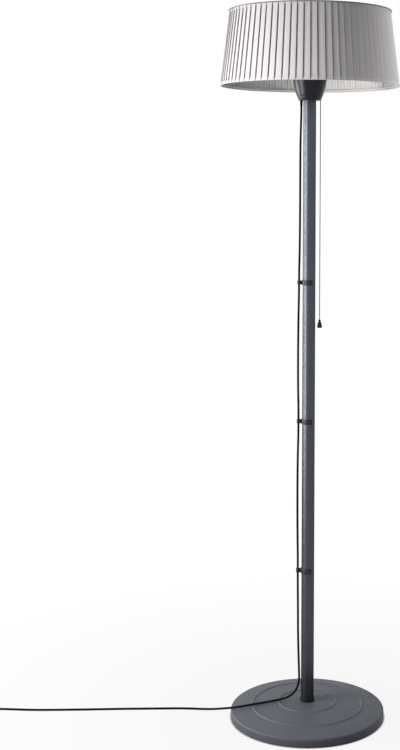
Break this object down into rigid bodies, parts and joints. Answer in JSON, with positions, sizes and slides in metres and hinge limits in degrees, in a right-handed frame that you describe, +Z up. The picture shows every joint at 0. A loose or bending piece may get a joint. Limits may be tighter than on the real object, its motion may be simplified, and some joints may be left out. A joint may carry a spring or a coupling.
{
  "type": "infrared patio heater tower",
  "caption": "Free-standing electric infrared patio heater styled as a floor lamp: round weighted base, slim pole with clipped mains lead, bell cup with pull switch and knife-pleated drum shade.",
  "frame": {"origin": "centre of the feet's underside, on the pole's axis", "axes": "+Z up along the pole; -Y is the front; the mains lead runs down the -X side and the pull cord hangs on the +X side"},
  "size_m": [1.3072, 0.5366, 2.1194],
  "materials": {
    "foot_rubber": "matte black rubber",
    "anthracite": "satin anthracite powder coat",
    "zinc": "zinc plated",
    "ballast": "cast concrete",
    "casting": "cast",
    "clip_plastic": "satin black",
    "cord_rubber": "satin black",
    "brass": "bright",
    "cup_gloss": "glossy black",
    "steel": "bright zinc",
    "ceramic": "unglazed white",
    "switch_plastic": "moulded",
    "rotor_plastic": "natural nylon",
    "pull_textile": "braided cord",
    "knob_plastic": "glossy black",
    "reflector": "polished",
    "housing_steel": "light grey heat-proof paint",
    "quartz": "clear quartz",
    "filament": "tungsten",
    "chrome_wire": "plated",
    "shade_fabric": "pleated off-white cloth",
    "shade_lining": "laminated white backing",
    "frame_white": "white",
    "shade_trim": "off-white tape",
    "cap_paint": "satin grey"
  },
  "bodies": {
    "tower": {"base_feet": "foot_rubber", "base_plate": "anthracite", "plate_screws": "zinc", "base_ballast": "ballast", "base_cover": "anthracite", "base_bolt": "zinc", "base_washer": "zinc", "pole_foot_ring": "anthracite", "pole_foot_insert": "casting", "pole_lower": "anthracite", "pole_joint": "anthracite", "pole_upper": "anthracite", "cable_clip_lower": "clip_plastic", "cable_clip_middle": "clip_plastic", "cable_clip_upper": "clip_plastic", "power_cord": "cord_rubber", "cord_coil": "cord_rubber", "plug_body": "cord_rubber", "plug_pins": "brass", "plug_fuse_cover": "clip_plastic", "cord_gland": "cord_rubber", "power_cord_inside": "cord_rubber", "cup_bell": "cup_gloss", "cup_ring": "cup_gloss", "cup_screws": "zinc", "set_screws": "zinc", "head_post": "steel", "cup_chassis": "steel", "terminal_block": "ceramic", "tilt_switch": "switch_plastic", "switch_case": "switch_plastic", "switch_lid": "switch_plastic", "switch_pin": "steel", "switch_spring": "steel", "switch_contacts": "brass", "cord_bush": "cup_gloss", "hub_flange": "steel", "reflector": "reflector", "heater_housing": "housing_steel", "quartz_tubes": "quartz", "filaments": "filament", "tube_ends": "ceramic", "tube_brackets": "steel", "guard": "chrome_wire", "rim_screws": "zinc", "shade_fabric": "shade_fabric", "shade_lining": "shade_lining", "shade_frame_top": "frame_white", "shade_frame_bottom": "frame_white", "shade_struts": "frame_white", "shade_trim_top": "shade_trim", "shade_trim_bottom": "shade_trim", "top_cap": "cap_paint", "post_plug": "steel", "cap_spacer": "steel", "cap_washer_nut": "zinc"},
    "pull": {"pull_cord": "pull_textile", "pull_knob": "knob_plastic"},
    "rotor": {"switch_rotor": "rotor_plastic"}
  },
  "joints": [
    {"name": "pull_slide", "type": "slide", "parent": "tower", "child": "pull", "axis": [0, 0, -1], "range_m": [0, 0.01], "stiffness_N_per_m": 600, "springref_m": -0.01},
    {"name": "switch_rotor_turn", "type": "hinge", "parent": "tower", "child": "rotor", "pos_m": [0.0259, 0, 1.9], "axis": [0, 1, 0], "range_deg": [0, 98]}
  ],
  "couplings": [
    {"joint": "switch_rotor_turn", "follows": "pull_slide", "rad_per_m": 169.49}
  ]
}
